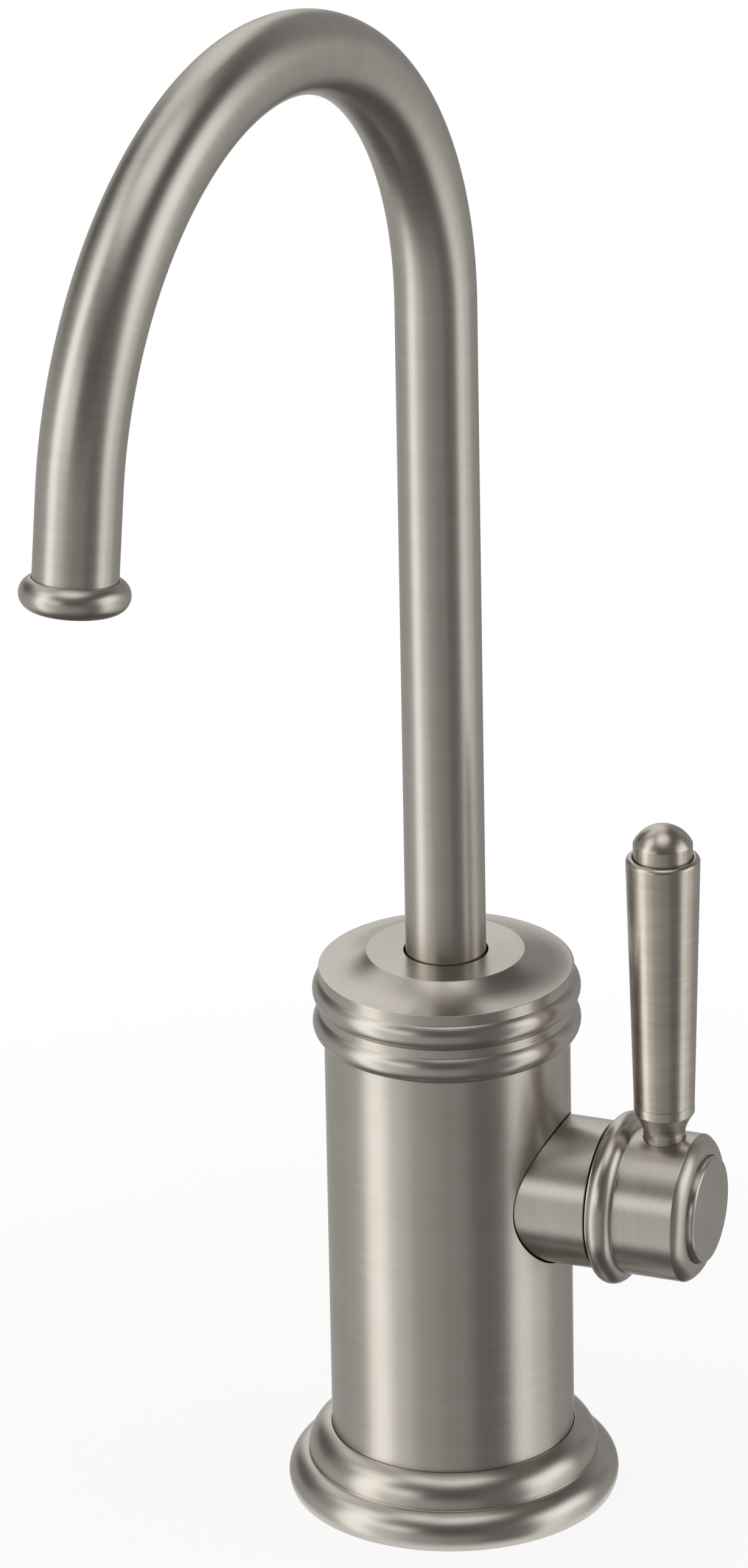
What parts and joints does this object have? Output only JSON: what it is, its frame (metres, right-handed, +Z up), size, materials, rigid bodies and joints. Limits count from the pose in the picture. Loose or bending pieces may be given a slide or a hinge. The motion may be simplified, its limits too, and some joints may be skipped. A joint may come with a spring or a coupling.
{
  "type": "water dispenser faucet",
  "caption": "Deck faucet for hot and cold drinking water: swivelling gooseneck spout on a beaded column, side lever that turns each way.",
  "frame": {"origin": "on the column's axis at the deck plane, which is the flange's underside", "axes": "+Z up along the column, +X along the handle's axis away from the column; the spout at rest heads 7 degrees past -Y"},
  "size_m": [0.0888, 0.1832, 0.4088],
  "materials": {
    "brushed_nickel": "brushed nickel plate on brass, fine lathe lines",
    "cast_brass": "as cast and machined",
    "turned_brass": "bright turned",
    "copper": "drawn copper",
    "stainless": "bright drawn stainless steel",
    "zinc_steel": "zinc plated",
    "ceramic_white": "lapped",
    "black_rubber": "moulded",
    "white_acetal": "moulded",
    "blue_acetal": "moulded"
  },
  "bodies": {
    "base": {"base_flange": "brushed_nickel", "deck_gasket": "black_rubber", "column": "brushed_nickel", "top_cap": "brushed_nickel", "valve_body": "cast_brass", "side_boss": "brushed_nickel", "threaded_shank": "turned_brass", "hot_inlet_tube": "copper", "cold_inlet_tube": "copper", "seat_seal": "black_rubber", "fixed_disc": "ceramic_white", "cartridge_housing": "turned_brass", "bonnet_nut": "turned_brass", "lower_bearing": "white_acetal", "upper_bearing": "white_acetal", "spout_nut": "turned_brass"},
    "deck_nut": {"rubber_washer": "black_rubber", "metal_washer": "zinc_steel", "mounting_nut": "turned_brass"},
    "spout": {"spout_tube": "brushed_nickel", "spout_stem": "turned_brass", "stem_rings": "black_rubber", "outlet_collar": "brushed_nickel", "aerator_housing": "white_acetal", "flow_disc": "blue_acetal", "aerator_screen": "stainless", "aerator_washer": "black_rubber"},
    "handle": {"handle_hub": "brushed_nickel", "end_cap": "brushed_nickel", "hub_screw": "stainless", "cartridge_stem": "stainless", "cartridge_ring": "black_rubber", "moving_disc": "ceramic_white", "lever_rod": "stainless", "lever_ferrule": "brushed_nickel", "lever_sleeve": "brushed_nickel", "lever_finial": "brushed_nickel"}
  },
  "joints": [
    {"name": "spout_swivel", "type": "hinge", "parent": "base", "child": "spout", "pos_m": [0, 0, 0.1], "axis": [0, 0, 1], "continuous": true},
    {"name": "handle_turn", "type": "hinge", "parent": "base", "child": "handle", "pos_m": [0.0457, 0, 0.0686], "axis": [1, 0, 0], "range_deg": [-90, 90]},
    {"name": "nut_travel", "type": "slide", "parent": "base", "child": "deck_nut", "axis": [0, 0, 1], "range_m": [-0.03, 0.022]}
  ]
}
